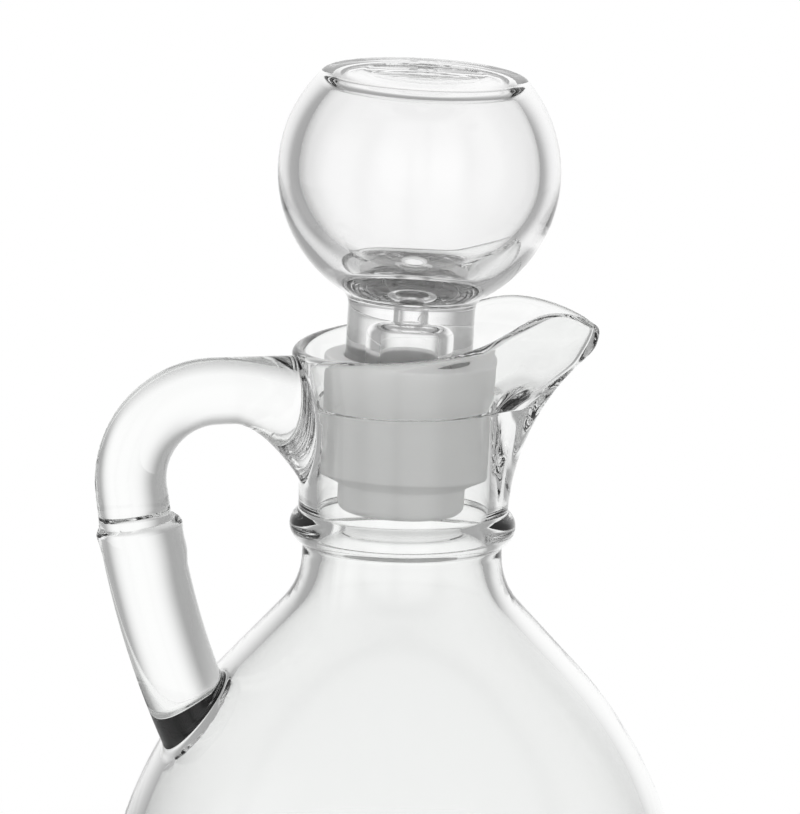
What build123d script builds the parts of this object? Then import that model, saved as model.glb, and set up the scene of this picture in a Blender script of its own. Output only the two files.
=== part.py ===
from build123d import *

import os
from math import acos, atan, atan2, cos, degrees, radians, sin, sqrt

# A glass oil bottle with a fused handle, a pouring lip, and a hollow glass stopper held in a soft seal.
# Millimetres. +Z is up, the origin is on the bottle's axis in the plane that it stands on.
# The pouring lip points along -Y and the handle along +Y. "Reach" is a distance along -Y.

# --- Body: a figure turned about +Z ---
body_radius = 40.5
body_widest_height = 17.4
body_wall = 2.6
base_radius = 33.0  # outer edge of the ring that it stands on
base_thickness = 5.0  # glass between the hollow under the base and the floor inside
base_hollow_radius = 24.0
base_hollow_height = 1.6
floor_corner_round = 9.0
shoulder_steepness = 1.67  # steepest slope of the shoulder, over the slope of its chord
shoulder_root_round = 10.3  # where the shoulder turns up into the waist

# --- Waist, bead and neck ---
waist_radius = 13.75
waist_height = 73.2  # where the shoulder ends
bead_rise = 3.9  # from there to the bead's middle
bead_radius = 15.6
bead_thickness = 4.6
neck_radius = 14.4

# --- Mouth and pouring lip. Every rise here is a height above the bead's middle ---
ledge_rise = 17.3  # the shelf inside the mouth, at the top of the bore
ledge_radius = 12.6
ledge_reach = 14.4  # the shelf is drawn out a little towards the lip
ledge_nose_radius = 8.0
mouth_radius = 16.0  # outside, at the rim
mouth_wall = 1.8
keel_round = 29.4  # the underside of the lip, an arc that leaves the neck upright
keel_tip_round = 4.2  # the arc by which it turns upright again at the tip
channel_sweep = 1.6  # how soon the pouring channel runs out towards the tip
lip_reach = 27.5
lip_nose_radius = 3.0
lip_fullness = 0.8  # how far the flanks bulge past straight lines
rim_back_rise = 24.7
rim_flank_rise = 27.5  # where the rim begins to climb to its crest
rim_flank_reach = 8.0
rim_crest_rise = 30.4
rim_crest_reach = 18.0
rim_tip_rise = 26.5
rim_back_slope, rim_flank_slope, rim_tip_slope = 0.1, 0.22, -0.85  # rise over reach; the crest is level
rim_round = 0.7

# --- Handle: a solid round bar, bent in the YZ plane ---
arm_drop = 5.0  # from the rim's back down to the arm's centre, so that the arm's top lies just under the rim
arm_radius = 4.6
grip_radius = 5.05  # just above the collar
leg_radius = 5.65  # just below the collar
foot_radius = 5.5
bend_radius = 11.7
handle_reach = 38.65  # from the axis to the bar's centre at its furthest
bend_past_vertical = 8.4  # degrees by which the bend runs past straight down
leg_shift = 0.45  # step of the bar's centre towards the bottle, at the collar
leg_lean = 11.0  # degrees from straight down at which the leg leaves the collar
foot_height = 51.8  # where the bar's centre meets the outside of the body
foot_bury = 9.0  # length of bar past that point, which the body's outline trims
root_depth = 17.8  # height of the flared root where it meets the neck
root_width = 11.2
root_length = 9.9
root_flare = 1.7  # how suddenly the root swells towards the neck
collar_radius = 6.1
collar_thickness = 3.8
ridge_drop = 3.2  # from the collar's middle to the thin ridge below it
ridge_radius = 6.0
ridge_thickness = 1.6

# --- Seal: a soft stepped plug that grips the shank of the stopper ---
seal_radius = 11.6
seal_clearance = 0.3  # to the bore, at rest and upright
seal_touch_gap = 0.12  # what is left of that clearance where the tilted plug comes nearest
seal_stand = 6.3  # how far it stands up above the ledge
seated_length = 9.4  # from the ledge down to its step
seal_cone_drop = 1.6
seal_nose_radius = 8.7
seal_nose_length = 5.8  # from the step down to the end of the nose
seal_edge_round = 0.6
seal_nose_round = 1.6

# --- Stopper: a hollow ball with a flat top, joined by a narrow passage to the bore of its shank ---
shank_radius = 8.75
shank_bore_radius = 4.0
shank_bore_round = 2.0
shank_fit = 0.06  # radial clearance between shank and seal
shank_end_rise = 1.6  # from the seal's step up to the shank's end, so that the socket has a floor
shank_end_round = 0.8
shank_root_round = 2.4
ball_radius = 19.45
ball_rise = 25.9  # from the seal's top up to the ball's centre
ball_wall = 2.9
ball_flat_rise = 13.6  # from the ball's centre to its flat top
ball_flat_round = 1.2
ball_top_thickness = 1.9
cavity_corner_round = 3.2
cavity_floor_drop = 14.8  # from the ball's centre to the bottom of its cavity, which is squashed below it
passage_radius = 1.65
passage_length = 5.8  # from the bottom of the cavity down to the bore
passage_edge_round = 1.0
dimple_radius = 8.4
dimple_depth = 0.9

# --- Sizes that follow from the ones above ---
bead_height = waist_height + bead_rise
ledge_height = bead_height + ledge_rise
rim_back_height = bead_height + rim_back_rise
rim_flank_height = bead_height + rim_flank_rise
rim_crest_height = bead_height + rim_crest_rise
rim_tip_height = bead_height + rim_tip_rise
arm_height = rim_back_height - arm_drop
seal_top_height = ledge_height + seal_stand
seal_step_height = ledge_height - seated_length
seal_nose_height = seal_step_height - seal_nose_length
shank_end_height = seal_step_height + shank_end_rise
ball_height = seal_top_height + ball_rise
bore_radius = seal_radius + seal_clearance
throat_radius = waist_radius - body_wall
floor_height = base_hollow_height + base_thickness
mouth_base_height = bead_height + bead_thickness / 2
keel_turn = acos(1 - (lip_reach - neck_radius) / (keel_round + keel_tip_round))
tip_height = bead_height + (keel_round + keel_tip_round) * sin(keel_turn)
# The plug leans towards the lip as far as its clearance in the bore lets it.
stopper_lean = degrees(atan(2 * (seal_clearance - seal_touch_gap) / seated_length))
lean_pivot_height = seal_step_height + seated_length / 2


def side(points):
    """Points of a half profile, given as (radius, height), in the plane that is turned about Z."""
    return [Vector(r, 0, z) for r, z in points]


def run(*points):
    """Straight edges from point to point of a half profile."""
    corners = side(points)
    return [Edge.make_line(a, b) for a, b in zip(corners, corners[1:])]


def arc_between(start, centre, end):
    """The short arc from start to end about centre, all as (radius, height)."""
    radius = sqrt((start[0] - centre[0]) ** 2 + (start[1] - centre[1]) ** 2)
    middle = ((start[0] + end[0]) / 2 - centre[0], (start[1] + end[1]) / 2 - centre[1])
    stretch = radius / sqrt(middle[0] ** 2 + middle[1] ** 2)
    through = (centre[0] + middle[0] * stretch, centre[1] + middle[1] * stretch)
    return Edge.make_three_point_arc(*side([start, through, end]))


def turned(edges):
    """A solid turned about Z from the edges of its closed half profile."""
    return revolve(make_face(Wire(edges)), Axis.Z)


def leaning(solid):
    """Something built upright on the axis, tilted with the stopper towards the lip."""
    return Pos(0, 0, lean_pivot_height) * Rot(stopper_lean, 0, 0) * Pos(0, 0, -lean_pivot_height) * solid


# --- The bottle's wall ---


def shoulder():
    """The shoulder's slope from upright, and the round of the flank that joins it to the widest point."""
    rise = waist_height - body_widest_height
    spread = body_radius - waist_radius
    slope = shoulder_steepness * atan2(spread, rise)
    across = spread - shoulder_root_round * (1 - cos(slope))
    along = rise - shoulder_root_round * sin(slope)
    return slope, (sin(slope) * along - cos(slope) * across) / (1 - cos(slope))


def wall_points(inset):
    """Arc centres and joints of the wall from the widest point to the waist, moved inwards by inset."""
    slope, flank_round = shoulder()
    flank_centre = (body_radius - flank_round, body_widest_height)
    root_centre = (waist_radius + shoulder_root_round, waist_height)
    outer, inner = flank_round - inset, shoulder_root_round + inset
    flank_end = (flank_centre[0] + outer * cos(slope), flank_centre[1] + outer * sin(slope))
    root_start = (root_centre[0] - inner * cos(slope), root_centre[1] - inner * sin(slope))
    return flank_centre, flank_end, root_start, root_centre


def wall_line(inset):
    """Edges of the wall from the widest point to the waist: flank arc, straight shoulder, root arc."""
    flank_centre, flank_end, root_start, root_centre = wall_points(inset)
    return [
        arc_between((body_radius - inset, body_widest_height), flank_centre, flank_end),
        *run(flank_end, root_start),
        arc_between(root_start, root_centre, (waist_radius - inset, waist_height)),
    ]


def outline_radius(height):
    """Radius of the body's outside at a height between its widest point and the top of its straight shoulder."""
    flank_centre, flank_end, root_start, _ = wall_points(0)
    if height > flank_end[1]:
        share = (height - flank_end[1]) / (root_start[1] - flank_end[1])
        return flank_end[0] + share * (root_start[0] - flank_end[0])
    return flank_centre[0] + sqrt(shoulder()[1] ** 2 - (height - flank_centre[1]) ** 2)


def heel():
    """Centre and radius of the arc from the widest point down to the standing ring."""
    tuck = body_radius - base_radius
    radius = (tuck**2 + body_widest_height**2) / (2 * tuck)
    return (body_radius - radius, body_widest_height), radius


def body_outside():
    """The turned outside of the bottle, from the hollow under its base to the top of the bead."""
    bead_low = (waist_radius, bead_height - bead_thickness / 2)
    bead_high = (neck_radius, mouth_base_height)
    return turned(
        [
            *run((0, base_hollow_height), (base_hollow_radius, 0), (base_radius, 0)),
            arc_between((base_radius, 0), heel()[0], (body_radius, body_widest_height)),
            *wall_line(0),
            *run((waist_radius, waist_height), bead_low),
            Edge.make_three_point_arc(*side([bead_low, (bead_radius, bead_height), bead_high])),
            *run(bead_high, (0, mouth_base_height), (0, base_hollow_height)),
        ]
    )


def body_inside():
    """The turned hollow of the bottle: body cavity, throat and bore, up to the ledge."""
    centre, radius = heel()
    reach = sqrt((radius - body_wall) ** 2 - (body_widest_height - floor_height) ** 2)
    floor_edge = (centre[0] + reach, floor_height)
    hollow = turned(
        [
            *run((0, floor_height), floor_edge),
            arc_between(floor_edge, centre, (body_radius - body_wall, body_widest_height)),
            *wall_line(body_wall),
            *run((throat_radius, waist_height), (bore_radius, mouth_base_height)),
            *run((bore_radius, mouth_base_height), (bore_radius, ledge_height)),
            *run((bore_radius, ledge_height), (0, ledge_height), (0, floor_height)),
        ]
    )
    floor_corner = hollow.edges().filter_by(GeomType.CIRCLE).sort_by(Axis.Z)[0]
    return fillet(floor_corner, floor_corner_round)


# --- Mouth and pouring lip ---


def lip_section(height, radius, reach, nose_radius, fullness):
    """A closed level outline: a circle about the axis, drawn out to a round nose along -Y."""
    nose_offset = reach - nose_radius
    turn = acos((radius - nose_radius) / nose_offset)
    joint = (radius * cos(turn), radius * sin(turn))
    nose = [
        (nose_offset + nose_radius * cos(share * turn), nose_radius * sin(share * turn))
        for share in (1, 0.5)
    ]
    flank = (
        (joint[0] + nose[0][0]) / 2 + fullness * cos(turn),
        (joint[1] + nose[0][1]) / 2 + fullness * sin(turn),
    )
    back = [(radius * cos(radians(a)), radius * sin(radians(a))) for a in (150, 120, 90)]
    half = [*back, joint, flank, *nose]
    outline = [(-radius, 0), *half, (reach, 0), *[(s, -w) for s, w in reversed(half)]]
    return Wire(Edge.make_spline([Vector(w, -s, height) for s, w in outline], periodic=True))


def between(low, high, share):
    return low + share * (high - low)


def keel_reach(height):
    """Reach of the underside of the lip: one arc out from the neck, then one back to upright at the tip."""
    rise = height - bead_height
    if rise < keel_round * sin(keel_turn):
        return neck_radius + keel_round - sqrt(keel_round**2 - rise**2)
    return lip_reach - keel_tip_round + sqrt(keel_tip_round**2 - (tip_height - height) ** 2)


def mouth_outside():
    """The outside of the neck and the pouring lip, left taller than the finished rim."""
    steps = 10
    sections = [Wire.make_circle(neck_radius, Plane((0, 0, mouth_base_height), x_dir=(0, 1, 0)))]
    for share in [i / steps for i in range(1, steps + 1)]:
        height = between(mouth_base_height, tip_height, share)
        radius = between(neck_radius, mouth_radius, share**2)
        nose = between(neck_radius, lip_nose_radius, share)
        sections.append(lip_section(height, radius, keel_reach(height), nose, share * lip_fullness))
    for height in (rim_crest_height, rim_crest_height + mouth_wall):
        sections.append(lip_section(height, mouth_radius, lip_reach, lip_nose_radius, lip_fullness))
    return Solid.make_loft(sections)


def mouth_inside():
    """The dished hollow above the ledge, with the channel that leads out along the lip."""
    steps = 8
    radius_inside, nose_inside = mouth_radius - mouth_wall, lip_nose_radius - mouth_wall
    reach_inside = lip_reach - mouth_wall
    sections = []
    for share in [i / steps for i in range(steps + 1)]:
        height = between(ledge_height, tip_height, share)
        reach = between(ledge_reach, reach_inside, 1 - (1 - share) ** channel_sweep)
        radius = between(ledge_radius, radius_inside, share)
        nose = between(ledge_nose_radius, nose_inside, sqrt(share))
        sections.append(lip_section(height, radius, reach, nose, share * lip_fullness))
    for height in (rim_crest_height, rim_crest_height + 2 * mouth_wall):
        sections.append(lip_section(height, radius_inside, reach_inside, nose_inside, lip_fullness))
    return Solid.make_loft(sections)


def rim_span(start, end):
    """One cubic of the rim's line, seen from the side. Both ends are (reach, height, slope)."""
    third = (end[0] - start[0]) / 3
    points = [
        start[:2],
        (start[0] + third, start[1] + third * start[2]),
        (end[0] - third, end[1] - third * end[2]),
        end[:2],
    ]
    return Edge.make_bezier(*[Vector(0, -reach, height) for reach, height in points])


def above_rim():
    """Everything above the rim, whose line rises from the handle to a crest and falls to the tip."""
    back = (-mouth_radius, rim_back_height, rim_back_slope)
    flank = (rim_flank_reach, rim_flank_height, rim_flank_slope)
    crest = (rim_crest_reach, rim_crest_height, 0)
    tip = (lip_reach, rim_tip_height, rim_tip_slope)
    spans = [rim_span(a, b) for a, b in ((back, flank), (flank, crest), (crest, tip))]
    behind, beyond = mouth_radius + mouth_wall, lip_reach + mouth_wall
    ceiling = rim_crest_height + mouth_radius
    corners = [
        (tip[0], tip[1]),
        (beyond, tip[1] + (beyond - tip[0]) * rim_tip_slope),
        (beyond, ceiling),
        (-behind, ceiling),
        (-behind, back[1] - (behind + back[0]) * rim_back_slope),
        (back[0], back[1]),
    ]
    corners = [Vector(0, -reach, height) for reach, height in corners]
    edges = spans + [Edge.make_line(a, b) for a, b in zip(corners, corners[1:])]
    return extrude(make_face(Wire(edges)), 2 * mouth_radius, dir=(1, 0, 0), both=True)


def build_bottle():
    glass = body_outside() + mouth_outside() - body_inside() - mouth_inside() - above_rim()
    # The rim's two edges are long; the seams that cross the rim between them are as short as the wall is thick.
    rim = [
        edge
        for edge in glass.edges()
        if edge.bounding_box().min.Z > rim_back_height - rim_round and edge.length > 2 * mouth_wall
    ]
    return fillet(rim, rim_round)


# --- Handle ---


def bar_point(reach, height):
    return Vector(0, reach, height)


def handle_path():
    """The bar's centre line in edges: arm, bend and grip above the collar, then leg and the end that the body trims."""
    bend_centre = (handle_reach - bend_radius, arm_height - bend_radius)
    past = radians(bend_past_vertical)
    lean = radians(leg_lean)
    half_turn = (radians(90) - past) / 2
    on_bend = [
        (bend_centre[0] + bend_radius * cos(a), bend_centre[1] + bend_radius * sin(a))
        for a in (radians(90), half_turn, -past)
    ]
    arm = Edge.make_line(bar_point(neck_radius + root_length, arm_height), bar_point(*on_bend[0]))
    bend = Edge.make_three_point_arc(*[bar_point(*p) for p in on_bend])
    drop = (bend @ 1).Z - bead_height
    grip = Edge.make_line(bend @ 1, bend @ 1 + (bend % 1) * (drop / cos(past)))
    top = grip @ 1 - bar_point(leg_shift, 0)
    foot = bar_point(outline_radius(foot_height), foot_height)
    leg = Edge.make_tangent_arc(top, bar_point(-sin(lean), -cos(lean)), foot)
    end = Edge.make_line(foot, foot + (leg % 1) * foot_bury)
    return arm, bend, grip, leg, end


def across_bar(path, share):
    return Plane(path @ share, x_dir=(1, 0, 0), z_dir=path % share)


def bar(path, start_radius, end_radius):
    """A round bar along a path, whose radius changes evenly from one end to the other."""
    ends = [
        make_face(Wire.make_circle(radius, across_bar(path, share)))
        for share, radius in ((0, start_radius), (1, end_radius))
    ]
    return sweep(sections=ends, path=path, multisection=True)


def ring_round(plane, radius, thickness, sunk):
    """A round-edged ring about the bar: a lens-shaped profile turned about the plane's normal."""
    inner = radius - sunk
    profile = make_face(
        Wire(
            [
                *run((0, -thickness / 2), (inner, -thickness / 2)),
                Edge.make_three_point_arc(*side([(inner, -thickness / 2), (radius, 0), (inner, thickness / 2)])),
                *run((inner, thickness / 2), (0, thickness / 2), (0, -thickness / 2)),
            ]
        )
    )
    # A quarter turn keeps the ring's seam off the bar's seam.
    return plane.location * Rot(0, 0, 90) * revolve(profile, Axis.Z)


def handle_root():
    """The flare where the arm joins the neck, flush with the arm's top and reaching on into the neck."""
    steps = 4
    sections = [Wire.make_circle(arm_radius, root_plane(0, arm_radius))]
    for share in [i / steps for i in range(1, steps + 2)]:
        swell = share**root_flare
        half_depth = between(arm_radius, root_depth / 2, swell)
        half_width = between(arm_radius, root_width / 2, swell)
        sections.append(Wire.make_ellipse(half_depth, half_width, root_plane(share, half_depth)))
    return Solid.make_loft(sections)


def root_plane(share, half_depth):
    """Upright plane across the root, at a share of its length from the arm, centred half a depth below the top."""
    reach = neck_radius + root_length * (1 - share)
    return Plane((0, reach, arm_height + arm_radius - half_depth), x_dir=(0, 0, 1), z_dir=(0, -1, 0))


def build_handle():
    arm, bend, grip, leg, end = handle_path()
    collar = ring_round(across_bar(leg, 0), collar_radius, collar_thickness, 1.0)
    ridge = ring_round(across_bar(leg, ridge_drop / leg.length), ridge_radius, ridge_thickness, 0.5)
    whole = bar(Wire([arm, bend, grip]), arm_radius, grip_radius) + bar(Wire([leg, end]), leg_radius, foot_radius)
    whole = whole + collar + ridge + handle_root()
    return whole - body_outside() - mouth_outside()


# --- Seal and stopper ---


def build_seal():
    """A stepped plug with a socket for the shank and a solid nose."""
    cone_end = seal_step_height - seal_cone_drop
    plug = turned(
        run(
            (0, seal_nose_height),
            (seal_nose_radius, seal_nose_height),
            (seal_nose_radius, cone_end),
            (seal_radius, seal_step_height),
            (seal_radius, seal_top_height),
            (0, seal_top_height),
            (0, seal_nose_height),
        )
    )
    plug = fillet(plug.edges().filter_by(GeomType.CIRCLE).sort_by(Axis.Z)[-1], seal_edge_round)
    plug = fillet(plug.edges().filter_by(GeomType.CIRCLE).sort_by(Axis.Z)[0], seal_nose_round)
    depth = seal_top_height - shank_end_height
    socket = Cylinder(shank_radius + shank_fit, depth, align=(Align.CENTER, Align.CENTER, Align.MIN))
    return leaning(plug - Pos(0, 0, shank_end_height) * socket)


def upright_shaft(radius, low, high):
    return Pos(0, 0, low) * Cylinder(radius, high - low, align=(Align.CENTER, Align.CENTER, Align.MIN))


def rounded(solid, level, radius):
    """The solid with the widest of the level circles at one of its heights rounded, counted from the lowest."""
    circles = solid.edges().filter_by(GeomType.CIRCLE).group_by(Axis.Z)[level]
    return fillet(circles.sort_by(SortBy.RADIUS)[-1], radius)


def stopper_outside():
    """A ball with a flat top on the shank, with its edges and the root of the shank rounded."""
    ball = Pos(0, 0, ball_height) * Sphere(ball_radius)
    shape = ball & upright_shaft(2 * ball_radius, shank_end_height, ball_height + ball_flat_rise)
    shape = shape + upright_shaft(shank_radius, shank_end_height, ball_height)
    shape = rounded(shape, -1, ball_flat_round)
    shape = rounded(shape, 1, shank_root_round)
    return rounded(shape, 0, shank_end_round)


def stopper_inside():
    """The turned hollow of the stopper: the shank's bore, the passage, and the ball's cavity."""
    radius = ball_radius - ball_wall
    centre = (0, ball_height)
    ceiling_rise = ball_flat_rise - ball_top_thickness
    ceiling_edge = (sqrt(radius**2 - ceiling_rise**2), ball_height + ceiling_rise)
    # The lower half of the cavity is squashed, so that the glass thickens towards the shank.
    squash = cavity_floor_drop / radius
    passage_top = ball_height - squash * sqrt(radius**2 - passage_radius**2)
    bowl = Edge.make_ellipse(
        radius,
        cavity_floor_drop,
        Plane(origin=(0, 0, ball_height), x_dir=(1, 0, 0), z_dir=(0, -1, 0)),
        -degrees(acos(passage_radius / radius)),
        0,
    )
    bore_top = ball_height - cavity_floor_drop - passage_length
    hollow = turned(
        [
            *run((0, shank_end_height), (shank_bore_radius, shank_end_height), (shank_bore_radius, bore_top)),
            *run((shank_bore_radius, bore_top), (passage_radius, bore_top), (passage_radius, passage_top)),
            bowl,
            arc_between((radius, ball_height), centre, ceiling_edge),
            *run(ceiling_edge, (0, ceiling_edge[1]), (0, shank_end_height)),
        ]
    )
    hollow = rounded(hollow, -1, cavity_corner_round)
    hollow = rounded(hollow, 2, passage_edge_round)
    return rounded(hollow, 1, shank_bore_round)


def build_stopper():
    """Hollow ball and shank in one blown piece, with a shallow dimple in the flat top."""
    dish_radius = (dimple_radius**2 + dimple_depth**2) / (2 * dimple_depth)
    dish_height = ball_height + ball_flat_rise - dimple_depth + dish_radius
    dimple = Pos(0, 0, dish_height) * Sphere(dish_radius)
    return leaning(stopper_outside() - stopper_inside() - dimple)


os.makedirs("parts", exist_ok=True)
export_step(build_bottle(), "parts/bottle.step")
export_step(build_handle(), "parts/handle.step")
export_step(build_seal(), "parts/stopper_seal.step")
export_step(build_stopper(), "parts/stopper.step")
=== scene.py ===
"""The looks of a clear glass cruet for oil.

A blown bottle with a fused bar handle holds a soft seal, and the seal a hollow ball stopper.
"""

import math

import bmesh
import bpy
import numpy as np
from mathutils import Matrix, Vector


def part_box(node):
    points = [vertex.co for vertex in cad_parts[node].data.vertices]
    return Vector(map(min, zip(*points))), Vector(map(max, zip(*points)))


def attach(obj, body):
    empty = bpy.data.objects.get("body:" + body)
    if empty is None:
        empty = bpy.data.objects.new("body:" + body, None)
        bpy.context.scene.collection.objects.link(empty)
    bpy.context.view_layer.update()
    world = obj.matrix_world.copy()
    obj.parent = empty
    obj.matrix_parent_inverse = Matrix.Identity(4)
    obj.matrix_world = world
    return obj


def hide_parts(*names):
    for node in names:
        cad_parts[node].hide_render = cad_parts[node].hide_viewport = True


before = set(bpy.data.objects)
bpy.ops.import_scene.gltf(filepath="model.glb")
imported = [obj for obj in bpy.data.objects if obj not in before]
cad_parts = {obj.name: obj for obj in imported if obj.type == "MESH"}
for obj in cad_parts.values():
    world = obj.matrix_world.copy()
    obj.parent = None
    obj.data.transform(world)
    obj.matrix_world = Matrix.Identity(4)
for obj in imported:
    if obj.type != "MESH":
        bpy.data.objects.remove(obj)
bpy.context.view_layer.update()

# Lengths are in millimetres until a mesh is made. "Reach" is a distance along -Y, towards the lip.
MM = 0.001
bottle_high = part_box("bottle")[1] / MM

# --- Body ---
body_radius = bottle_high.x
body_widest_height = 17.4
body_wall = 2.6
base_radius = 33.0
base_thickness = 5.0
base_hollow_radius = 24.0
base_hollow_height = 1.6
floor_corner_round = 9.0
shoulder_steepness = 1.67
shoulder_root_round = 10.3

# --- Waist, bead and neck ---
waist_radius = 13.75
waist_height = 73.2
bead_height = 77.1
bead_radius = 15.6
bead_thickness = 4.6
neck_radius = 14.4

# --- Mouth and lip ---
ledge_height = 94.4
ledge_radius = 12.6
ledge_reach = 14.4
ledge_nose_radius = 8.0
mouth_radius = 16.0
mouth_wall = 1.8
keel_round = 29.4
keel_tip_round = 4.2
channel_sweep = 1.6
lip_reach = 27.5
lip_nose_radius = 3.0
lip_fullness = 0.8
rim_back = (-mouth_radius, 101.8)
rim_flank = (8.0, 104.6)
rim_crest = (18.0, bottle_high.z)
rim_tip = (lip_reach, 103.6)
rim_back_slope, rim_flank_slope, rim_tip_slope = 0.1, 0.22, -0.85
rim_crown = 0.9

# --- Handle ---
arm_height = 96.8
arm_radius = 4.6
grip_radius = 5.05
leg_radius = 5.65
foot_radius = 5.5
bend_radius = 11.7
handle_reach = 38.65
bend_past_vertical = math.radians(8.4)
leg_shift = 0.45
leg_lean = math.radians(11.0)
foot_height = 51.8
foot_run = 14.0
root_depth = 17.8
root_width = 11.2
root_length = 9.9
root_flare = 1.7
root_overrun = 1.6
collar_height = bead_height
collar_radius = 6.1
collar_bulge = 1.0
collar_thickness = 3.8
ridge_drop = 3.2
ridge_radius = 6.0
ridge_thickness = 1.6
root_fillet = 1.2
least_root_fillet = 0.05
foot_fillet = 1.8
fillet_edge_bury = 0.03
handle_bury = 0.9

# --- Seal ---
seal_radius = 11.6
seal_top_height = 100.7
seal_step_height = 85.0
seal_cone_drop = 1.6
seal_nose_radius = 8.7
seal_nose_height = 79.2
seal_nose_round = 1.6

# --- Stopper ---
shank_radius = 8.75
shank_bore_radius = 4.0
shank_fit = 0.06
shank_end_height = 86.6
shank_root_round = 2.4
ball_radius = 19.45
ball_height = 126.6
ball_wall = 2.9
ball_flat_rise = 13.6
ball_flat_round = 1.2
ball_top_thickness = 1.9
cavity_corner_round = 3.2
cavity_floor_drop = 14.8
passage_radius = 1.65
passage_length = 5.8
passage_edge_round = 1.0
shank_bore_round = 2.0
dimple_radius = 8.4
dimple_depth = 0.9
stopper_lean = math.radians(2.19)
lean_pivot_height = 89.7

# --- Sizes that follow ---
bore_radius = seal_radius + 0.3
throat_radius = waist_radius - body_wall
floor_height = base_hollow_height + base_thickness
mouth_base_height = bead_height + bead_thickness / 2
keel_turn = math.acos(1 - (lip_reach - neck_radius) / (keel_round + keel_tip_round))
keel_rise = keel_round * math.sin(keel_turn)
tip_height = bead_height + (keel_round + keel_tip_round) * math.sin(keel_turn)

# --- How finely a surface is traced: its step along an outline, and its points round and rings ---
trace_step = 0.15
around_bottle = 192
around_bar = 72
around_turned = 160
lip_crowding = 0.6
ledge_rings = 19
channel_rings = 99
crown_rings = 23
rim_rounds = 6
lip_rings = 179
fan_rings = 11
fan_fillets = 3
fillet_rings = 9
cap_shares = (0.06, 0.3, 0.6, 0.85, 1.0)

# --- How a surface is finished: how often it melts, and the turn and run from one kept ring on ---
vessel_melt, bar_melt, turned_melt = 8, 3, 5
vessel_turn, vessel_run = math.radians(5), 2.2
bar_turn, bar_run = math.radians(6), 1.2
seal_turn, stopper_turn, turned_run = math.radians(9), math.radians(4), 1.6
sharp_edge = math.radians(45)
# Points closer together than this are one, in metres.
weld_distance = 1e-6


# === Outlines, as (radius, height) points ===


def line(start, end):
    count = max(2, math.ceil(math.dist(start, end) / trace_step) + 1)
    return np.linspace(start, end, count)


def arc(centre, radius, start_angle, end_angle):
    """Points on an arc. Angles are in radians from the outward direction, positive upwards."""
    count = max(2, math.ceil(abs(end_angle - start_angle) * radius / trace_step) + 1)
    angles = np.linspace(start_angle, end_angle, count)
    return np.column_stack(
        [centre[0] + radius * np.cos(angles), centre[1] + radius * np.sin(angles)]
    )


def angle_from(centre, point):
    return math.atan2(point[1] - centre[1], point[0] - centre[0])


def joined(*stretches):
    """One outline from stretches that each start where the last one ended."""
    return np.concatenate([stretches[0], *[s[1:] for s in stretches[1:]]])


def through(*points):
    """Straight stretches from point to point."""
    return joined(*[line(start, end) for start, end in zip(points, points[1:])])


def bead_bulge():
    """The bead's round outside, from its lower foot to its upper one."""
    low = np.array((waist_radius, bead_height - bead_thickness / 2))
    high = np.array((neck_radius, mouth_base_height))
    crown = np.array((bead_radius, bead_height))
    # The centre is as far from the lower foot as from the crown and from the upper foot.
    ends = 2 * np.array([crown - low, high - low])
    squares = np.array([crown @ crown - low @ low, high @ high - low @ low])
    centre = np.linalg.solve(ends, squares)
    return arc(centre, math.dist(centre, low), angle_from(centre, low), angle_from(centre, high))


def shoulder():
    """The shoulder's slope from upright, and the round of the flank below it."""
    rise = waist_height - body_widest_height
    spread = body_radius - waist_radius
    slope = shoulder_steepness * math.atan2(spread, rise)
    across = spread - shoulder_root_round * (1 - math.cos(slope))
    along = rise - shoulder_root_round * math.sin(slope)
    return slope, (math.sin(slope) * along - math.cos(slope) * across) / (1 - math.cos(slope))


def wall(inset):
    """The wall from the widest point up to the waist, moved inwards by inset."""
    slope, flank_round = shoulder()
    flank = arc((body_radius - flank_round, body_widest_height), flank_round - inset, 0, slope)
    root_centre = (waist_radius + shoulder_root_round, waist_height)
    root = arc(root_centre, shoulder_root_round + inset, math.pi + slope, math.pi)
    return joined(flank, line(flank[-1], root[0]), root)


def heel():
    """Centre and radius of the round from the widest point down to the standing ring."""
    tuck = body_radius - base_radius
    radius = (tuck**2 + body_widest_height**2) / (2 * tuck)
    return (body_radius - radius, body_widest_height), radius


def inside_profile():
    """From the middle of the floor up the inside of the wall to the edge of the ledge."""
    centre, radius = heel()
    inner = radius - body_wall
    corner_height = floor_height + floor_corner_round
    reach = math.sqrt((inner - floor_corner_round) ** 2 - (corner_height - centre[1]) ** 2)
    corner = (centre[0] + reach, corner_height)
    lift = angle_from(centre, corner)
    return joined(
        line((0, floor_height), (corner[0], floor_height)),
        arc(corner, floor_corner_round, -math.pi / 2, lift),
        arc(centre, inner, lift, 0),
        wall(body_wall),
        through(
            (throat_radius, waist_height),
            (bore_radius, mouth_base_height),
            (bore_radius, ledge_height),
        ),
    )


def outside_profile():
    """From the foot of the neck down over the bead and the body to the middle of the base."""
    centre, radius = heel()
    ring_angle = angle_from(centre, (base_radius, 0))
    bead = bead_bulge()
    return joined(
        bead[::-1],
        line(bead[0], (waist_radius, waist_height)),
        wall(0)[::-1],
        arc(centre, radius, 0, ring_angle),
        through((base_radius, 0), (base_hollow_radius, 0), (0, base_hollow_height)),
    )


# === The mouth, whose level outlines are circles drawn out to a round nose ===


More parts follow.
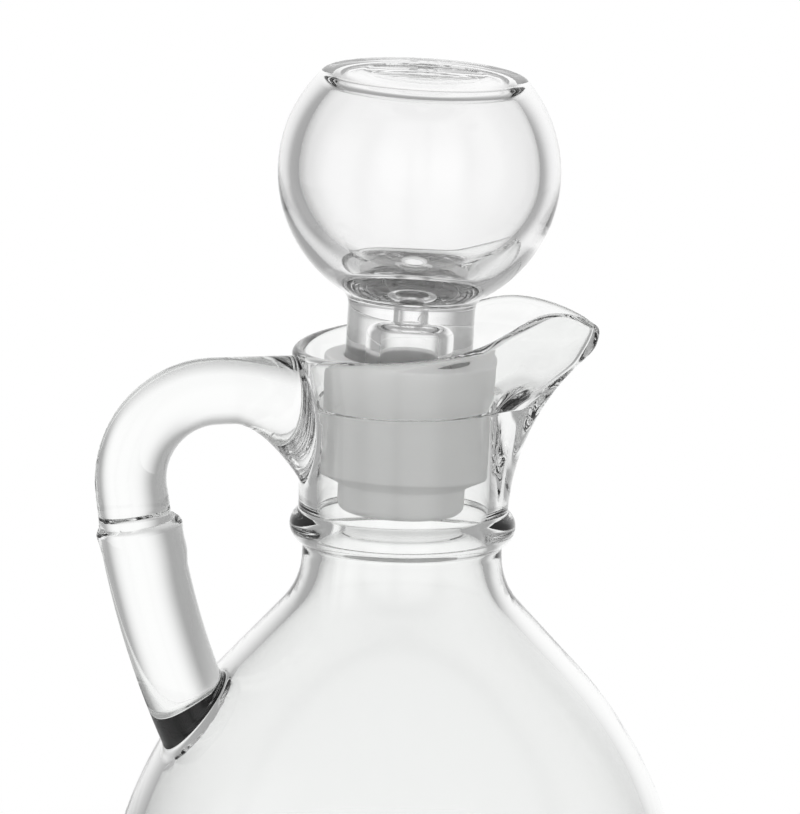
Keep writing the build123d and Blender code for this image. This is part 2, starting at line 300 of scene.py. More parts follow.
def drawn_circle(angle, radius, reach, nose, fullness):
    """Distance from the axis of a circle drawn out to a nose, at an angle from the lip.

    Fullness is how far the middle of a flank bulges past the straight run to the nose.
    """
    angle = np.abs((angle + math.pi) % (2 * math.pi) - math.pi)
    offset = reach - nose
    tangent = np.arccos(np.clip((radius - nose) / offset, -1, 1))
    nose_edge = np.arctan2(nose * np.sin(tangent), offset + nose * np.cos(tangent))
    nose_depth = np.sqrt(np.maximum(nose**2 - (offset * np.sin(angle)) ** 2, 0))
    on_nose = offset * np.cos(angle) + nose_depth
    along = np.clip((angle - nose_edge) / np.maximum(tangent - nose_edge, 1e-9), 0, 1)
    straight = radius / np.cos(np.minimum(np.abs(angle - tangent), 1))
    on_flank = straight + fullness * np.sin(math.pi * along) ** 2
    return np.where(angle < nose_edge, on_nose, np.where(angle < tangent, on_flank, radius))


def between(low, high, share):
    return low + share * (high - low)


def share_of(height, low):
    """How far a height is from low to the lip's tip, from 0 to 1."""
    return np.clip((height - low) / (tip_height - low), 0, 1)


def keel_reach(height):
    """Reach of the lip's underside: an arc out from the neck, then one that turns upright."""
    rise = np.clip(height - bead_height, 0, keel_rise)
    sweep = neck_radius + keel_round - np.sqrt(keel_round**2 - rise**2)
    drop = np.clip(tip_height - height, 0, keel_tip_round * math.sin(keel_turn))
    tip = lip_reach - keel_tip_round + np.sqrt(keel_tip_round**2 - drop**2)
    return np.where(height - bead_height < keel_rise, sweep, tip)


def mouth_outside(height, angle):
    share = share_of(height, mouth_base_height)
    radius = between(neck_radius, mouth_radius, share**2)
    nose = between(neck_radius, lip_nose_radius, share)
    return drawn_circle(angle, radius, keel_reach(height), nose, share * lip_fullness)


def mouth_inside(height, angle):
    share = share_of(height, ledge_height)
    reach = between(ledge_reach, lip_reach - mouth_wall, 1 - (1 - share) ** channel_sweep)
    radius = between(ledge_radius, mouth_radius - mouth_wall, share)
    nose = between(ledge_nose_radius, lip_nose_radius - mouth_wall, np.sqrt(share))
    return drawn_circle(angle, radius, reach, nose, share * lip_fullness)


def hermite(start, end, start_slope, end_slope, x):
    """A cubic from start to end, both (x, value), with the slopes given."""
    run = end[0] - start[0]
    t = np.clip((x - start[0]) / run, 0, 1)
    rise = start[1] * (2 * t**3 - 3 * t**2 + 1) + end[1] * (3 * t**2 - 2 * t**3)
    return rise + run * (start_slope * (t**3 - 2 * t**2 + t) + end_slope * (t**3 - t**2))


def rim_height(reach):
    """Height of the rim: low at the back, rising past the sides to a crest, down to the tip."""
    behind = hermite(rim_back, rim_flank, rim_back_slope, rim_flank_slope, reach)
    climb = hermite(rim_flank, rim_crest, rim_flank_slope, 0, reach)
    fall = hermite(rim_crest, rim_tip, 0, rim_tip_slope, reach)
    return np.where(reach < rim_flank[0], behind, np.where(reach < rim_crest[0], climb, fall))


# === Surfaces as rings of points, which are thinned and made into meshes ===


def shares(count):
    """Even shares of a whole, from the first above 0 up to 1."""
    return np.linspace(0, 1, count + 1)[1:]


def ring_angles(count, crowding=0):
    """Angles round a ring, closer together near the first by the share crowding."""
    even = np.linspace(0, 2 * math.pi, count, endpoint=False)
    return even - crowding * np.sin(even)


def about_axis(radius, height, angles):
    """Rings of points: radius and height broadcast against the angles from the lip."""
    radius, height = np.broadcast_arrays(radius, height)
    shape = np.broadcast_shapes(radius.shape, angles.shape)
    x, y = radius * np.sin(angles), -radius * np.cos(angles)
    return np.stack([np.broadcast_to(p, shape) for p in (x, y, height)], axis=-1)


def melted(rings, passes):
    """Rings evened out along their run, as fire polishing rounds every edge."""
    rings = rings.copy()
    for _ in range(passes):
        rings[1:-1] = (rings[:-2] + 2 * rings[1:-1] + rings[2:]) / 4
    return rings


def thinned(rings, most_turn, most_run):
    """Only the rings that the shape needs: one wherever it has turned or run on far enough."""
    steps = np.diff(rings, axis=0)
    lengths = np.linalg.norm(steps, axis=2)
    ways = steps / np.maximum(lengths, 1e-9)[..., None]
    cosines = np.clip((ways[1:] * ways[:-1]).sum(axis=2), -1, 1)
    # A shorter step than this has no clear direction.
    clear = 1e-4
    solid = (lengths[1:] > clear) & (lengths[:-1] > clear)
    turns = np.where(solid, np.arccos(cosines), 0).max(axis=1)
    kept, turn, run = [0], 0.0, 0.0
    for i in range(1, len(rings) - 1):
        turn += turns[i - 1]
        run += lengths[i - 1].max()
        if turn > most_turn or run > most_run:
            kept.append(i)
            turn, run = 0.0, 0.0
    return rings[[*kept, len(rings) - 1]]


def placed(name, mesh):
    piece = bpy.data.objects.new(name, mesh)
    bpy.context.scene.collection.objects.link(piece)
    return piece


def closed_mesh(name, rings, material):
    """A smooth closed mesh through rings of points, whose first and last close to a point."""
    middle = rings[1:-1]
    count, around = middle.shape[:2]
    ends = [ring.mean(axis=0)[None] for ring in (rings[0], rings[-1])]
    points = np.concatenate([ends[0], middle.reshape(-1, 3), ends[1]])
    faces = []
    for j in range(around):
        k = (j + 1) % around
        faces.append((0, 1 + k, 1 + j))
        for i in range(count - 1):
            low, high = 1 + i * around, 1 + (i + 1) * around
            faces.append((low + j, low + k, high + k, high + j))
        last = 1 + (count - 1) * around
        faces.append((last + j, last + k, len(points) - 1))
    mesh = bpy.data.meshes.new(name)
    mesh.from_pydata((points * MM).tolist(), [], faces)
    made = bmesh.new()
    made.from_mesh(mesh)
    bmesh.ops.remove_doubles(made, verts=made.verts, dist=weld_distance)
    bmesh.ops.recalc_face_normals(made, faces=made.faces)
    made.to_mesh(mesh)
    made.free()
    mesh.shade_smooth()
    mesh.materials.append(material)
    return placed(name, mesh)


# === The bottle's glass ===


def vessel_rings():
    """The whole wall in one run: up the inside, over the ledge and rim, and down the outside."""
    angles = ring_angles(around_bottle, lip_crowding)
    inside, outside = inside_profile(), outside_profile()
    # The rim's height and its reach depend on each other, so a few rounds close in on both.
    crown_base = np.full(around_bottle, rim_flank[1])
    for _ in range(rim_rounds):
        middle = (mouth_inside(crown_base, angles) + mouth_outside(crown_base, angles)) / 2
        crown_base = rim_height(middle * np.cos(angles)) - rim_crown
    shelf_edge = mouth_inside(ledge_height, angles)
    ledge = between(bore_radius, shelf_edge, shares(ledge_rings)[:, None])
    up = between(ledge_height, crown_base, shares(channel_rings)[:, None])
    over = np.linspace(0, math.pi, crown_rings + 2)[1:-1, None]
    low, high = mouth_inside(crown_base, angles), mouth_outside(crown_base, angles)
    crown = between(low, high, (1 - np.cos(over)) / 2)
    fall = np.linspace(0, 1, lip_rings, endpoint=False)[:, None]
    down = between(crown_base, mouth_base_height, fall)
    return np.concatenate(
        [
            about_axis(inside[:, :1], inside[:, 1:], angles),
            about_axis(ledge, np.full_like(ledge, ledge_height), angles),
            about_axis(mouth_inside(up, angles), up, angles),
            about_axis(crown, crown_base + rim_crown * np.sin(over), angles),
            about_axis(mouth_outside(down, angles), down, angles),
            about_axis(outside[:, :1], outside[:, 1:], angles),
        ]
    )


def body_surface(height, angle):
    """Radius of the bottle's outside below the bead, which is the same at every angle."""
    profile = outside_profile()[::-1]
    below = profile[(profile[:, 1] < waist_height) & (profile[:, 0] > waist_radius)]
    rising = below[np.argmax(below[:, 0]) :]
    return np.interp(height, rising[:, 1], rising[:, 0])


def leg_line(start):
    """The leg's centre, as (y, z): an arc from its lean at the collar to the shoulder, and on."""
    heading = np.array((-math.sin(leg_lean), -math.cos(leg_lean)))
    side = np.array((heading[1], -heading[0]))
    foot = np.array((float(body_surface(foot_height, 0)), foot_height))
    chord = foot - start
    radius = (chord @ chord) / (2 * chord @ side)
    centre = start + side * radius
    first = angle_from(centre, start)
    sweep = -2 * math.asin(math.dist(start, foot) / (2 * radius))
    leg = arc(centre, radius, first, first + sweep)
    onward = (leg[-1] - leg[-2]) / math.dist(leg[-1], leg[-2])
    return joined(leg, line(foot, foot + foot_run * onward))


def handle_line():
    """The bar's centre, as (y, z): from its root to the collar, and from there past its foot."""
    centre = (handle_reach - bend_radius, arm_height - bend_radius)
    arm = line((neck_radius + root_length, arm_height), (centre[0], arm_height))
    bend = arc(centre, bend_radius, math.pi / 2, -bend_past_vertical)
    drop = bend[-1][1] - collar_height
    grip_end = bend[-1] - (drop * math.tan(bend_past_vertical), drop)
    leg_start = grip_end - (leg_shift, 0)
    rise = collar_thickness / 2
    grip = line(bend[-1], grip_end + (rise * math.tan(bend_past_vertical), rise))
    collar_top = leg_start + (rise * math.tan(leg_lean), rise)
    return joined(arm, bend, grip), joined(line(collar_top, leg_start), leg_line(leg_start))


def ring_about_bar(run, centre, length, sunk_radius, crown_radius):
    """Radius of a round-edged ring about the bar, and nothing beyond its ends."""
    inside = 1 - ((run - centre) / (length / 2)) ** 2
    rise = (crown_radius - sunk_radius) * np.sqrt(np.clip(inside, 0, None))
    return np.where(inside > 0, sunk_radius + rise, 0)


def bar_radius(run, collar):
    """The bar's radius along its run, with its collar and the ridge below it."""
    above = between(arm_radius, grip_radius, run / collar)
    below = between(leg_radius, foot_radius, (run - collar) / (run[-1] - collar))
    sunk_radius = collar_radius - collar_bulge
    rings = (
        ring_about_bar(run, collar, collar_thickness, sunk_radius, collar_radius),
        ring_about_bar(run, collar + ridge_drop, ridge_thickness, leg_radius, ridge_radius),
    )
    radius = np.maximum(np.where(run < collar, above, below), np.maximum(*rings))
    return melted(radius[:, None], bar_melt)


def bar_rings():
    """The bar with its collar and ridge, from the end of the root to beyond the foot."""
    grip, leg = handle_line()
    path = np.concatenate([grip, leg])
    run = np.concatenate([[0], np.cumsum(np.linalg.norm(np.diff(path, axis=0), axis=1))])
    radius = bar_radius(run, run[len(grip)] + collar_thickness / 2)
    ways = np.concatenate([np.gradient(part, axis=0) for part in (grip, leg)])
    ways /= np.linalg.norm(ways, axis=1)[:, None]
    # The first angle is the bar's outer side: its top along the arm.
    angles = ring_angles(around_bar)
    x = radius * np.sin(angles)
    out = radius * np.cos(angles)
    y = path[:, :1] - ways[:, 1:] * out
    z = path[:, 1:] + ways[:, :1] * out
    return np.stack([x, y, z], axis=-1)


def root_rings():
    """The flared root from the arm back into the neck, flush with the arm's top."""
    angles = ring_angles(around_bar)
    count = math.ceil(root_overrun * root_length / trace_step)
    share = np.linspace(0, root_overrun, count)[1:, None]
    swell = share**root_flare
    half_depth = between(arm_radius, root_depth / 2, swell)
    half_width = between(arm_radius, root_width / 2, swell)
    x = half_width * np.sin(angles)
    y = np.broadcast_to(neck_radius + root_length * (1 - share), x.shape)
    z = arm_height + arm_radius - half_depth * (1 - np.cos(angles))
    return np.stack([x, y, z], axis=-1)


def radius_and_angle(points):
    return np.hypot(points[..., 0], points[..., 1]), np.arctan2(points[..., 0], -points[..., 1])


def onto(points, surface, depth):
    """Points moved towards or away from the axis, to lie that far inside a surface about it."""
    radius, angle = radius_and_angle(points)
    scale = (surface(points[..., 2], angle) - depth) / radius
    return points * np.stack([scale, scale, np.ones_like(radius)], axis=-1)


def landing_on(rings, travelled, surface):
    """Where each line along a bar meets a surface, and how far along the line that is."""
    radius, angle = radius_and_angle(rings)
    above = radius - surface(rings[..., 2], angle)
    lines = np.arange(rings.shape[1])
    first_under = np.argmax(above < 0, axis=0)
    before, after = (first_under - 1, lines), (first_under, lines)
    share = above[before] / (above[before] - above[after])
    landing = between(rings[before], rings[after], share[:, None])
    return landing, between(travelled[before], travelled[after], share)


def fanned(rings, travelled, begun, stop):
    """Rings that each lie at one share of the way from begun to stop along every line."""
    fan = []
    for share in shares(fan_rings):
        at = between(begun, stop, share)
        points = [
            [np.interp(at[j], travelled[:, j], rings[:, j, axis]) for axis in range(3)]
            for j in range(len(at))
        ]
        fan.append(points)
    return np.array(fan)


def outward_along(landing, surface):
    """Directions along a surface, away from the middle of where a bar lands on it."""
    step = 0.05
    angle = radius_and_angle(landing)[1]
    level = np.stack([np.cos(angle), np.sin(angle), np.zeros_like(angle)], axis=-1)
    higher, lower = (surface(landing[:, 2] + s, angle) for s in (step, -step))
    slope = (higher - lower) / (2 * step)
    up = np.stack([slope * np.sin(angle), -slope * np.cos(angle), np.ones_like(slope)], axis=-1)
    up /= np.linalg.norm(up, axis=1)[:, None]
    normal = np.cross(level, up)
    away = landing - landing.mean(axis=0)
    away = away - (away * normal).sum(axis=1)[:, None] * normal
    return away / np.linalg.norm(away, axis=1)[:, None]


def seated(rings, surface, fillet):
    """A bar's rings, ending in a fillet onto a surface and a cap buried in the glass under it."""
    lengths = np.linalg.norm(np.diff(rings, axis=0), axis=2)
    travelled = np.concatenate([np.zeros_like(lengths[:1]), np.cumsum(lengths, axis=0)])
    landing, reached = landing_on(rings, travelled, surface)
    stop = reached - fillet
    # The rings keep their own spacing until they near the surface, then fan out to meet it.
    near = travelled.max(axis=1) > stop.min() - fan_fillets * fillet.max()
    kept = rings[: np.argmax(near)]
    fan = fanned(rings, travelled, travelled[len(kept) - 1], stop)
    end = landing + outward_along(landing, surface) * fillet[:, None]
    end = onto(end, surface, fillet_edge_bury)
    bends = [
        (1 - t) ** 2 * fan[-1] + 2 * t * (1 - t) * landing + t**2 * end
        for t in shares(fillet_rings)
    ]
    middle = landing.mean(axis=0)
    cap = [onto(between(end, middle, share), surface, handle_bury) for share in cap_shares]
    return np.concatenate([kept, fan, bends, cap])


def handle_rings():
    """The whole bar from its cap in the neck to its cap in the shoulder."""
    # The arm's top runs straight into the rim, so the fillet grows from next to nothing there.
    lowness = (1 - np.cos(ring_angles(around_bar))) / 2
    root = seated(root_rings(), mouth_outside, least_root_fillet + root_fillet * lowness)
    foot = seated(bar_rings(), body_surface, np.full(around_bar, foot_fillet))
    return np.concatenate([root[::-1], foot])


def fused(name, vessel, bar):
    """One closed piece of glass from two that overlap."""
    join = vessel.modifiers.new("join", "BOOLEAN")
    join.operation, join.solver, join.object = "UNION", "MANIFOLD", bar
    evaluated = vessel.evaluated_get(bpy.context.evaluated_depsgraph_get())
    mesh = bpy.data.meshes.new_from_object(evaluated)
    mesh.name = name
    for part in (vessel, bar):
        bpy.data.objects.remove(part)
    mesh.shade_smooth()
    mesh.set_sharp_from_angle(angle=sharp_edge)
    return placed(name, mesh)


# === Seal and stopper, turned about the leaning axis of the plug ===


def leaning():
    """The move from upright on the bottle's axis to the plug's leaning axis."""
    pivot = Vector((0, 0, lean_pivot_height * MM))
    lean = Matrix.Rotation(stopper_lean, 4, "X")
    return Matrix.Translation(pivot) @ lean @ Matrix.Translation(-pivot)


def seal_profile():
    """From the middle of the socket's floor, over the barrel, to the middle of the nose."""
    socket = shank_radius + shank_fit
    nose_centre = (seal_nose_radius - seal_nose_round, seal_nose_height + seal_nose_round)
    nose = arc(nose_centre, seal_nose_round, 0, -math.pi / 2)
    return joined(
        through(
            (0, shank_end_height),
            (socket, shank_end_height),
            (socket, seal_top_height),
            (seal_radius, seal_top_height),
            (seal_radius, seal_step_height),
            (seal_nose_radius, seal_step_height - seal_cone_drop),
            (seal_nose_radius, nose_centre[1]),
        ),
        nose,
        line(nose[-1], (0, seal_nose_height)),
    )


def ball_profile():
    """From the flat top's edge, round the ball and into the shank."""
    centre = (0, ball_height)
    edge_rise = ball_flat_rise - ball_flat_round
    edge_radius = math.sqrt((ball_radius - ball_flat_round) ** 2 - edge_rise**2)
    edge = (edge_radius, ball_height + edge_rise)
    root_radius = shank_radius + shank_root_round
    root_drop = math.sqrt((ball_radius + shank_root_round) ** 2 - root_radius**2)
    root = (root_radius, ball_height - root_drop)
    top_angle, root_angle = angle_from(centre, edge), angle_from(centre, root)
    return joined(
        arc(edge, ball_flat_round, math.pi / 2, top_angle),
        arc(centre, ball_radius, top_angle, root_angle),
        arc(root, shank_root_round, math.pi + root_angle, math.pi),
    )


def cavity_profile():
    """The stopper's inside: up the bore and its passage, and round the ball to the ceiling."""
    radius = ball_radius - ball_wall
    centre = (0, ball_height)
    rise = ball_flat_rise - ball_top_thickness - cavity_corner_round
    corner = (math.sqrt((radius - cavity_corner_round) ** 2 - rise**2), ball_height + rise)
    ceiling = arc(corner, cavity_corner_round, angle_from(centre, corner), math.pi / 2)
    bore_top = ball_height - cavity_floor_drop - passage_length
    dome_centre = (shank_bore_radius - shank_bore_round, bore_top - shank_bore_round)
    dome = arc(dome_centre, shank_bore_round, 0, math.pi / 2)
    # The lower half of the ball is squashed, so that its glass thickens towards the shank.
    entry_radius = passage_radius + passage_edge_round
    half_ball = arc((0, 0), radius, -math.acos(entry_radius / radius), 0)
    bowl = half_ball * (1, cavity_floor_drop / radius) + centre
    entry_centre = (entry_radius, bowl[0][1] - passage_edge_round)
    entry = arc(entry_centre, passage_edge_round, math.pi, math.pi / 2)
    return joined(
        line((shank_bore_radius, shank_end_height), dome[0]),
        dome,
        through(dome[-1], (passage_radius, bore_top), entry[0]),
        entry,
        bowl,
        arc(centre, radius, 0, angle_from(centre, corner)),
        ceiling,
        line(ceiling[-1], (0, ceiling[-1][1])),
    )


def stopper_profile():
    """From the middle of the dimple, down the outside, and up inside to the cavity's ceiling."""
    top = ball_height + ball_flat_rise
    dish_radius = (dimple_radius**2 + dimple_depth**2) / (2 * dimple_depth)
    dish = (0, top - dimple_depth + dish_radius)
    ball = ball_profile()
    return joined(
        arc(dish, dish_radius, -math.pi / 2, angle_from(dish, (dimple_radius, top))),
        line((dimple_radius, top), ball[0]),
        ball,
        through(
            ball[-1], (shank_radius, shank_end_height), (shank_bore_radius, shank_end_height)
        ),
        cavity_profile(),
    )


def lathe_tree():
    """Geometry nodes that turn an outline's points round the axis into a closed surface."""
    tree = bpy.data.node_groups.new("lathe", "GeometryNodeTree")
    nodes = Nodes(tree)
    for name, kind in (("Outline", "Geometry"), ("Around", "Int"), ("Material", "Material")):
        tree.interface.new_socket(name, in_out="INPUT", socket_type="NodeSocket" + kind)
    tree.interface.new_socket("Piece", in_out="OUTPUT", socket_type="NodeSocketGeometry")
    given = nodes.add("NodeGroupInput")
    outline, around = given["Outline"], given["Around"]
    size = nodes.add(
        "GeometryNodeAttributeDomainSize", {"component": "MESH"}, {"Geometry": outline}
    )
    count = size["Point Count"]
    # The grid has a column for each step round the axis and a row for each point of the outline.
    grid = nodes.add(
        "GeometryNodeMeshGrid", {}, {"Vertices X": around + 1, "Vertices Y": count}
    )["Mesh"]
    index = nodes.add("GeometryNodeInputIndex")["Index"]
    column = nodes.maths("FLOOR", (index + 0.5) / count)
    row = index - column * count
    point = nodes.add(
        "GeometryNodeSampleIndex",
        {"data_type": "FLOAT_VECTOR", "domain": "POINT"},
        {
            "Geometry": outline,
            "Value": nodes.add("GeometryNodeInputPosition")["Position"],
            "Index": row,
        },
    )["Value"]
    parts = nodes.add("ShaderNodeSeparateXYZ", {}, {0: point})
    angle = column * (-2 * math.pi) / around
    x = parts["X"] * nodes.maths("SINE", angle)
    y = 0 - parts["X"] * nodes.maths("COSINE", angle)
    spot = nodes.add("ShaderNodeCombineXYZ", {}, {"X": x, "Y": y, "Z": parts["Z"]})["Vector"]
    piece = nodes.add("GeometryNodeSetPosition", {}, {"Geometry": grid, "Position": spot})
    for kind, sockets in (
        ("GeometryNodeMergeByDistance", {"Distance": weld_distance}),
        ("GeometryNodeSetShadeSmooth", {}),
        ("GeometryNodeRealizeInstances", {}),
        ("GeometryNodeSetMaterial", {"Material": given["Material"]}),
    ):
        piece = nodes.add(kind, {}, {"Geometry": piece["Geometry"], **sockets})
    nodes.add("NodeGroupOutput", {}, {"Piece": piece["Geometry"]})
    return tree


def turned(name, profile, material, most_turn, lathe_nodes):
    """A piece turned from a profile and tilted onto the plug's axis."""
    points = np.column_stack([profile[:, 0], np.zeros(len(profile)), profile[:, 1]])[:, None]
    points = thinned(melted(points, turned_melt), most_turn, turned_run)[:, 0]
    outline = bpy.data.meshes.new(name + "_outline")
    outline.from_pydata((points * MM).tolist(), [], [])
    drawn = placed(name + "_outline", outline)
    lathe = drawn.modifiers.new("lathe", "NODES")
    lathe.node_group = lathe_nodes
    settings = {"Around": around_turned, "Material": material}
    for socket in lathe_nodes.interface.items_tree:
        if socket.name in settings:
            lathe[socket.identifier] = settings[socket.name]
    evaluated = drawn.evaluated_get(bpy.context.evaluated_depsgraph_get())
    mesh = bpy.data.meshes.new_from_object(evaluated)
    mesh.name = name
    # The outline's own slot comes first, and is empty.
    mesh.materials.pop(index=0)
    drawn.modifiers.remove(lathe)
    bpy.data.objects.remove(drawn)
    mesh.transform(leaning())
    return placed(name, mesh)


# === Materials ===


class Value:
    """A node's output, on which + - * / and ** add Math nodes."""

    def __init__(self, nodes, socket):
        self.nodes, self.socket = nodes, socket

    def __add__(self, other):
        return self.nodes.maths("ADD", self, other)

    def __sub__(self, other):
        return self.nodes.maths("SUBTRACT", self, other)

    def __rsub__(self, other):
        return self.nodes.maths("SUBTRACT", other, self)

    def __mul__(self, other):
        return self.nodes.maths("MULTIPLY", self, other)

    def __truediv__(self, other):
        return self.nodes.maths("DIVIDE", self, other)

    def __pow__(self, other):
        return self.nodes.maths("POWER", self, other)

    __radd__, __rmul__ = __add__, __mul__


class Node:
    """A node whose outputs are taken by name or number."""

    def __init__(self, nodes, node):
        self.nodes, self.node = nodes, node

    def __getitem__(self, key):
        return Value(self.nodes, self.node.outputs[key])


class Nodes:
    """A node tree to which nodes are added by type, settings and sockets."""

    def __init__(self, tree):
        self.tree = tree
        tree.nodes.clear()

    def add(self, kind, settings=None, sockets=None):
        node = self.tree.nodes.new(kind)
        for name, value in (settings or {}).items():
            setattr(node, name, value)
        for key, value in (sockets or {}).items():
            if isinstance(value, Value):
                self.tree.links.new(value.socket, node.inputs[key])
            else:
                node.inputs[key].default_value = value
        return Node(self, node)

    def maths(self, operation, *values):
        return self.add("ShaderNodeMath", {"operation": operation}, dict(enumerate(values)))[0]


def new_material(name):
    material = bpy.data.materials.new(name)
    material.use_nodes = True
    return material, Nodes(material.node_tree)


def noise(nodes, scale, detail):
    where = nodes.add("ShaderNodeTexCoord")["Object"]
    sockets = {"Vector": where, "Scale": scale, "Detail": detail}
    return nodes.add("ShaderNodeTexNoise", {}, sockets)["Fac"]


def bumped(nodes, height, strength, distance):
    sockets = {"Height": height, "Strength": strength, "Distance": distance}
    return nodes.add("ShaderNodeBump", {}, sockets)["Normal"]


def clear_glass(name, tint):
    """Fire-polished glass: clear, with slow waves in its surface and a trace of handling."""
    material, nodes = new_material(name)
    waves = noise(nodes, scale=55.0, detail=2.0)
    haze = noise(nodes, scale=140.0, detail=4.0)
    surface = nodes.add(
        "ShaderNodeBsdfPrincipled",
        {},
        {
            "Base Color": tint,
            "Roughness": haze**4 * 0.02,
            "IOR": 1.5,
            "Transmission Weight": 1.0,
            "Normal": bumped(nodes, waves, strength=0.05, distance=0.001),
        },
    )
    nodes.add("ShaderNodeOutputMaterial", {}, {"Surface": surface["BSDF"]})
    return material


def frosted_plastic(name):
    """Soft milky plastic with a fine frosted skin."""
    material, nodes = new_material(name)
    grain = noise(nodes, scale=2600.0, detail=3.0)
    clouds = noise(nodes, scale=90.0, detail=2.0)
    surface = nodes.add(
        "ShaderNodeBsdfPrincipled",
        {},
        {
            "Base Color": (0.92, 0.92, 0.915, 1),
            "Roughness": 0.42 + clouds * 0.12,
            "IOR": 1.46,
            "Transmission Weight": 0.12,
            "Normal": bumped(nodes, grain, strength=0.15, distance=0.0001),
        },
    )
    nodes.add("ShaderNodeOutputMaterial", {}, {"Surface": surface["BSDF"]})
    return material


# === Studio ===

# Its lit walls, each as (direction, half width, softness) in degrees from +X.
light_walls = ((-20, 25, 16), (91, 15, 12), (137, 13, 11), (182, 17, 14))
# The brightness that glass sees in the gaps between them, where a wall is 1.
gap_level = 0.38
# The walls fade out between these heights, from 0 at the horizon to 1 overhead.
walls_fade = (0.25, 0.8)
# The floor is a pale card, painted grey round the bottle as shade, that gives way to plain white
# between these distances, in metres.
floor_shade_grey = 0.72
floor_shade_fade = (0.06, 0.17)
floor_half_width = 0.45
white = (1, 1, 1, 1)


def ramp(nodes, value, low, high):
    """A soft step from 0 at low to 1 at high."""
    limits = {"Value": value, "From Min": low, "From Max": high}
    return nodes.add("ShaderNodeMapRange", {"interpolation_type": "SMOOTHSTEP"}, limits)["Result"]


def wall_light(nodes, x, y):
    """How lit the studio is in the direction of x and y, from 0 in a gap to 1 on a wall."""
    # The last term keeps the length above 0 straight overhead.
    level = (x * x + y * y + 1e-6) ** 0.5
    lit = 0
    for direction, half_width, softness in light_walls:
        turn = math.radians(direction)
        towards = (x * math.cos(turn) + y * math.sin(turn)) / level
        limits = [math.cos(math.radians(half_width + side * softness)) for side in (1, -1)]
        lit = nodes.maths("MAXIMUM", lit, ramp(nodes, towards, *limits))
    return lit


def as_seen(nodes, lit):
    """White to the camera and to the diffuse light on the object, and walls and gaps in glass."""
    ray = nodes.add("ShaderNodeLightPath")
    through_glass = nodes.maths("MAXIMUM", ray["Is Glossy Ray"], ray["Is Transmission Ray"])
    not_diffuse = nodes.maths("LESS_THAN", ray["Diffuse Depth"], 0.5)
    brightness = gap_level + (1 - gap_level) * lit
    return 1 - through_glass * not_diffuse * (1 - brightness)


def studio_floor():
    """A pale floor, painted grey round the bottle as shade, that keeps the bottle's shadow and
    fades into the white background.
    """
    half = floor_half_width
    corners = [(-half, -half, 0), (half, -half, 0), (half, half, 0), (-half, half, 0)]
    mesh = bpy.data.meshes.new("floor")
    mesh.from_pydata(corners, [], [(0, 1, 2, 3)])
    material, nodes = new_material("floor_white")
    where = nodes.add("ShaderNodeTexCoord")["Object"]
    place = nodes.add("ShaderNodeSeparateXYZ", {}, {0: where})
    distance = nodes.add("ShaderNodeVectorMath", {"operation": "LENGTH"}, {0: where})["Value"]
    # The grey near the bottle is painted shade, which glass sees below it before the white.
    shade_tone = (floor_shade_grey, floor_shade_grey, floor_shade_grey, 1)
    shaded_card = nodes.add("ShaderNodeBsdfDiffuse", {}, {"Color": shade_tone})["BSDF"]
    strength = as_seen(nodes, wall_light(nodes, place["X"], place["Y"]))
    beyond = nodes.add("ShaderNodeEmission", {}, {"Color": white, "Strength": strength})
    layers = {0: ramp(nodes, distance, *floor_shade_fade), 1: shaded_card, 2: beyond["Emission"]}
    surface = nodes.add("ShaderNodeMixShader", {}, layers)["Shader"]
    nodes.add("ShaderNodeOutputMaterial", {}, {"Surface": surface})
    mesh.materials.append(material)
    floor = placed("floor", mesh)


def studio_light():
    """Plain white light all round, in which glass also sees the walls and the gaps."""
    world = bpy.data.worlds.new("studio")
    world.use_nodes = True
    bpy.context.scene.world = world
    nodes = Nodes(world.node_tree)
    way = nodes.add("ShaderNodeTexCoord")["Generated"]
    parts = nodes.add("ShaderNodeSeparateXYZ", {}, {0: way})
    lit = wall_light(nodes, parts["X"], parts["Y"]) * (1 - ramp(nodes, parts["Z"], *walls_fade))
    light = nodes.add(
        "ShaderNodeBackground", {}, {"Color": white, "Strength": as_seen(nodes, lit)}
    )
    nodes.add("ShaderNodeOutputWorld", {}, {"Surface": light["Background"]})


# === Camera ===

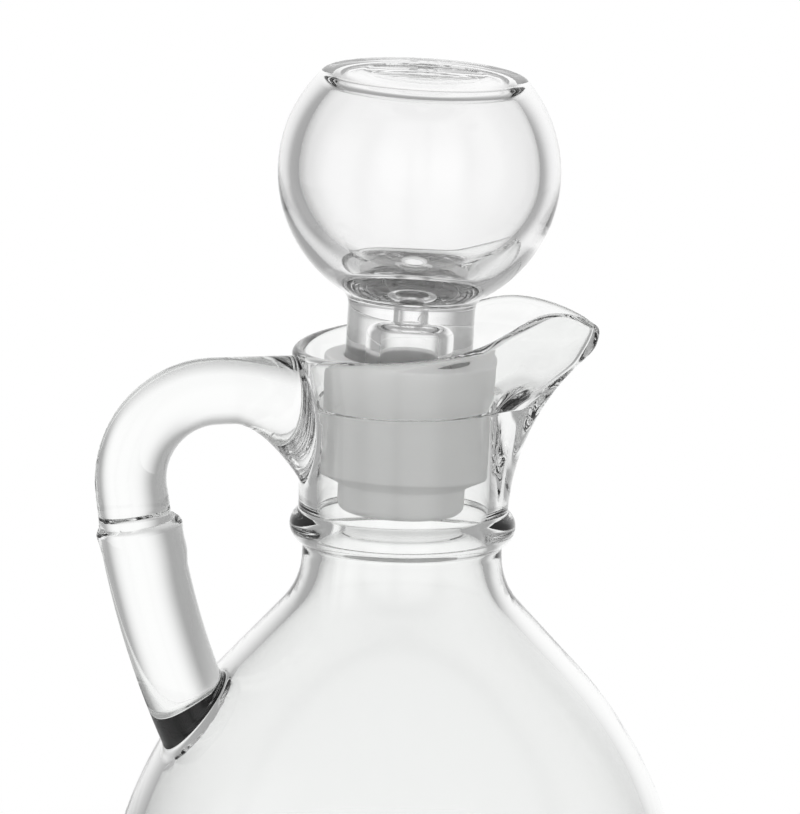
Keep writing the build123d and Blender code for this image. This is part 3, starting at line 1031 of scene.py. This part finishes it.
view_azimuth = math.radians(255)
view_elevation = math.radians(11.3)
view_roll = math.radians(1.15)
view_height = 93.7
view_left = 0.66
view_span = 111.93
lens = 600.0
sensor = 36.0
# Nearest and farthest distance that the camera sees, in metres.
sight_range = (0.1, 20)


def add_camera():
    """A long lens from the bottle's side, a little round towards the handle and above."""
    camera = bpy.data.cameras.new("camera")
    camera.lens, camera.sensor_width = lens, sensor
    camera.clip_start, camera.clip_end = sight_range
    across = math.cos(view_elevation)
    back = Vector(
        (
            math.sin(view_azimuth) * across,
            -math.cos(view_azimuth) * across,
            math.sin(view_elevation),
        )
    )
    right = Vector((math.cos(view_azimuth), math.sin(view_azimuth), 0))
    aim = Vector((0, 0, view_height)) - right * view_left
    distance = view_span * lens / sensor
    seat = placed("camera", camera)
    seat.rotation_mode = "QUATERNION"
    roll = Matrix.Rotation(view_roll, 4, "Z").to_quaternion()
    seat.rotation_quaternion = (-back).to_track_quat("-Z", "Y") @ roll
    seat.location = (aim + back * distance) * MM
    bpy.context.scene.camera = seat


# === The cruet ===


def build():
    bottle_glass = clear_glass("bottle_glass", (0.985, 0.99, 0.985, 1))
    stopper_glass = clear_glass("stopper_glass", (0.99, 0.99, 0.99, 1))
    plastic = frosted_plastic("seal_plastic")

    blown = thinned(melted(vessel_rings(), vessel_melt), vessel_turn, vessel_run)
    drawn = thinned(handle_rings(), bar_turn, bar_run)
    vessel = closed_mesh("vessel", blown, bottle_glass)
    bar = closed_mesh("bar", drawn, bottle_glass)
    glass = fused("bottle_and_handle", vessel, bar)
    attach(glass, "bottle")
    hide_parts("bottle", "handle")

    lathe_nodes = lathe_tree()
    seal = turned("soft_seal", seal_profile(), plastic, seal_turn, lathe_nodes)
    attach(seal, "seal")
    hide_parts("stopper_seal")

    stopper = turned("ball_stopper", stopper_profile(), stopper_glass, stopper_turn, lathe_nodes)
    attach(stopper, "stopper")
    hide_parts("stopper")


build()
studio_floor()
studio_light()
add_camera()
scene = bpy.context.scene
scene.view_settings.view_transform = "Standard"
scene.cycles.max_bounces = 32
scene.cycles.transmission_bounces = 32
scene.cycles.glossy_bounces = 12
scene.cycles.transparent_max_bounces = 16
